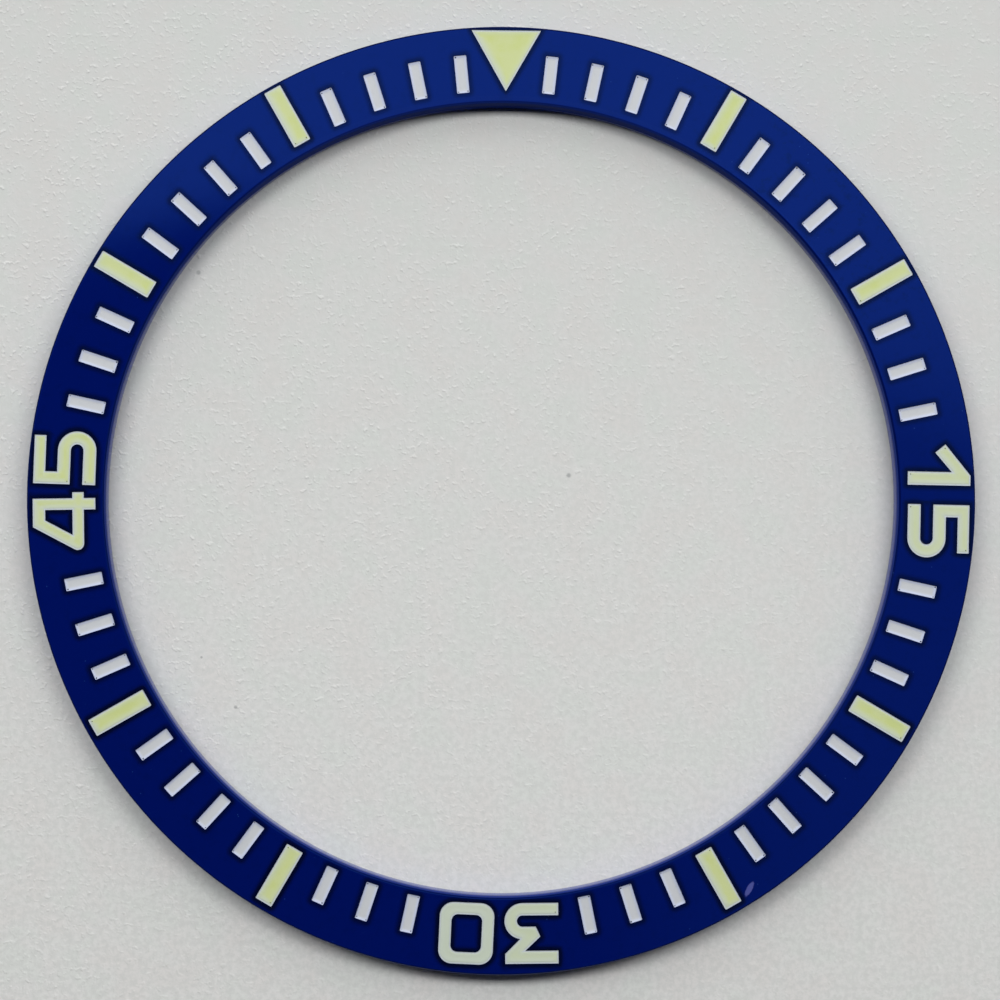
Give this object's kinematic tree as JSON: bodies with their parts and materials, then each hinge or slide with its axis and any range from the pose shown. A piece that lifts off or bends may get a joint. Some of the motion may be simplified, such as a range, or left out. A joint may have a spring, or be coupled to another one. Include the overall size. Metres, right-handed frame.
{
  "type": "watch bezel insert",
  "caption": "Flat blue ceramic ring insert for a diving watch bezel, with white minute ticks and luminous triangle, bars and figures set in recesses.",
  "frame": {"origin": "middle of the back face, on the ring's axis", "axes": "+Z along the ring's axis, out of the face that is seen; +Y towards the triangle at minute 0; +X towards the figures 15"},
  "size_m": [0.038, 0.038, 0.0011],
  "materials": {
    "blue_ceramic": "polished navy blue zirconia, near-mirror face",
    "white_paint": "satin white enamel paint",
    "white_ground": "matt white ground coat",
    "lume": "matt, slightly granular pale yellow-green luminous compound"
  },
  "bodies": {
    "root": {"insert_ring": "blue_ceramic", "minute_ticks_01_04": "white_paint", "minute_ticks_06_09": "white_paint", "minute_ticks_11_13": "white_paint", "minute_ticks_17_19": "white_paint", "minute_ticks_21_24": "white_paint", "minute_ticks_26_28": "white_paint", "minute_ticks_32_34": "white_paint", "minute_ticks_36_39": "white_paint", "minute_ticks_41_43": "white_paint", "minute_ticks_47_49": "white_paint", "minute_ticks_51_54": "white_paint", "minute_ticks_56_59": "white_paint", "triangle_ground": "white_ground", "bar_05_ground": "white_ground", "bar_10_ground": "white_ground", "fifteen_one_ground": "white_ground", "fifteen_five_ground": "white_ground", "bar_20_ground": "white_ground", "bar_25_ground": "white_ground", "thirty_three_ground": "white_ground", "thirty_zero_ground": "white_ground", "bar_35_ground": "white_ground", "bar_40_ground": "white_ground", "forty_five_four_ground": "white_ground", "forty_five_five_ground": "white_ground", "bar_50_ground": "white_ground", "bar_55_ground": "white_ground", "triangle_lume": "lume", "bar_05_lume": "lume", "bar_10_lume": "lume", "fifteen_one_lume": "lume", "fifteen_five_lume": "lume", "bar_20_lume": "lume", "bar_25_lume": "lume", "thirty_three_lume": "lume", "thirty_zero_lume": "lume", "bar_35_lume": "lume", "bar_40_lume": "lume", "forty_five_four_lume": "lume", "forty_five_five_lume": "lume", "bar_50_lume": "lume", "bar_55_lume": "lume"}
  },
  "joints": []
}
